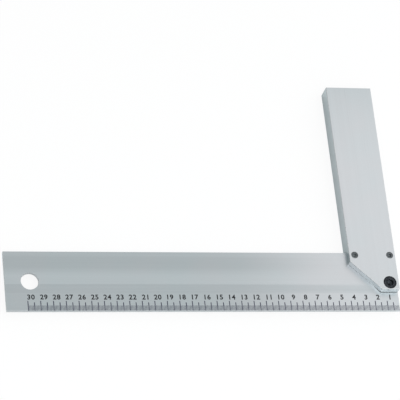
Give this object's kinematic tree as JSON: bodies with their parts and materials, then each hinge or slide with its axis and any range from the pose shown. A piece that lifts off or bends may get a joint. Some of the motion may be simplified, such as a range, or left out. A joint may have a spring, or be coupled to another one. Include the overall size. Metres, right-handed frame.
{
  "type": "carpenter square",
  "caption": "Adjustable carpenter square: a ruler blade with a hanging hole, clamped in a slotted handle with a mitred inner corner, trued by an eccentric.",
  "frame": {"origin": "middle of the square's bounding box, in the plane of the handle's back face", "axes": "+X along the blade towards the heel, +Y up the handle away from the blade, +Z out of the face that carries the scale"},
  "size_m": [0.317, 0.198, 0.014],
  "materials": {
    "anodised_aluminium": "silver anodised, satin, with fine extrusion lines",
    "black_steel": "black oxide, semi-gloss",
    "dark_steel": "darkened, semi-gloss",
    "plated_steel": "zinc plated",
    "bush_bronze": "plain bronze",
    "grey_plastic": "moulded, matt"
  },
  "bodies": {
    "handle": {"handle_body": "anodised_aluminium", "end_plug": "grey_plastic", "pivot_insert": "plated_steel", "clamp_insert": "plated_steel"},
    "blade": {"blade": "anodised_aluminium", "pivot_bush": "bush_bronze"},
    "pivot_screw": {"pivot_screw": "dark_steel", "pivot_washer": "plated_steel"},
    "clamp_screw": {"clamp_screw": "dark_steel", "clamp_washer": "plated_steel"},
    "eccentric": {"eccentric": "black_steel", "retaining_ring": "plated_steel"}
  },
  "joints": [
    {"name": "blade_pivot", "type": "hinge", "parent": "handle", "child": "blade", "pos_m": [0.1539, -0.0533, 0.007], "axis": [0, 0, 1], "range_deg": [-0.9, 0.9]},
    {"name": "eccentric_turn", "type": "hinge", "parent": "handle", "child": "eccentric", "pos_m": [0.151, -0.0771, 0.007], "axis": [0, 0, 1], "range_deg": [-57.6, 57.6]},
    {"name": "clamp_screw_turn", "type": "hinge", "parent": "handle", "child": "clamp_screw", "pos_m": [0.1246, -0.0533, 0.007], "axis": [0, 0, 1], "range_deg": [0, 180]},
    {"name": "pivot_screw_turn", "type": "hinge", "parent": "handle", "child": "pivot_screw", "pos_m": [0.1539, -0.0533, 0.007], "axis": [0, 0, 1], "range_deg": [0, 180]}
  ],
  "couplings": [
    {"joint": "eccentric_turn", "follows": "blade_pivot", "ratio": 64}
  ]
}
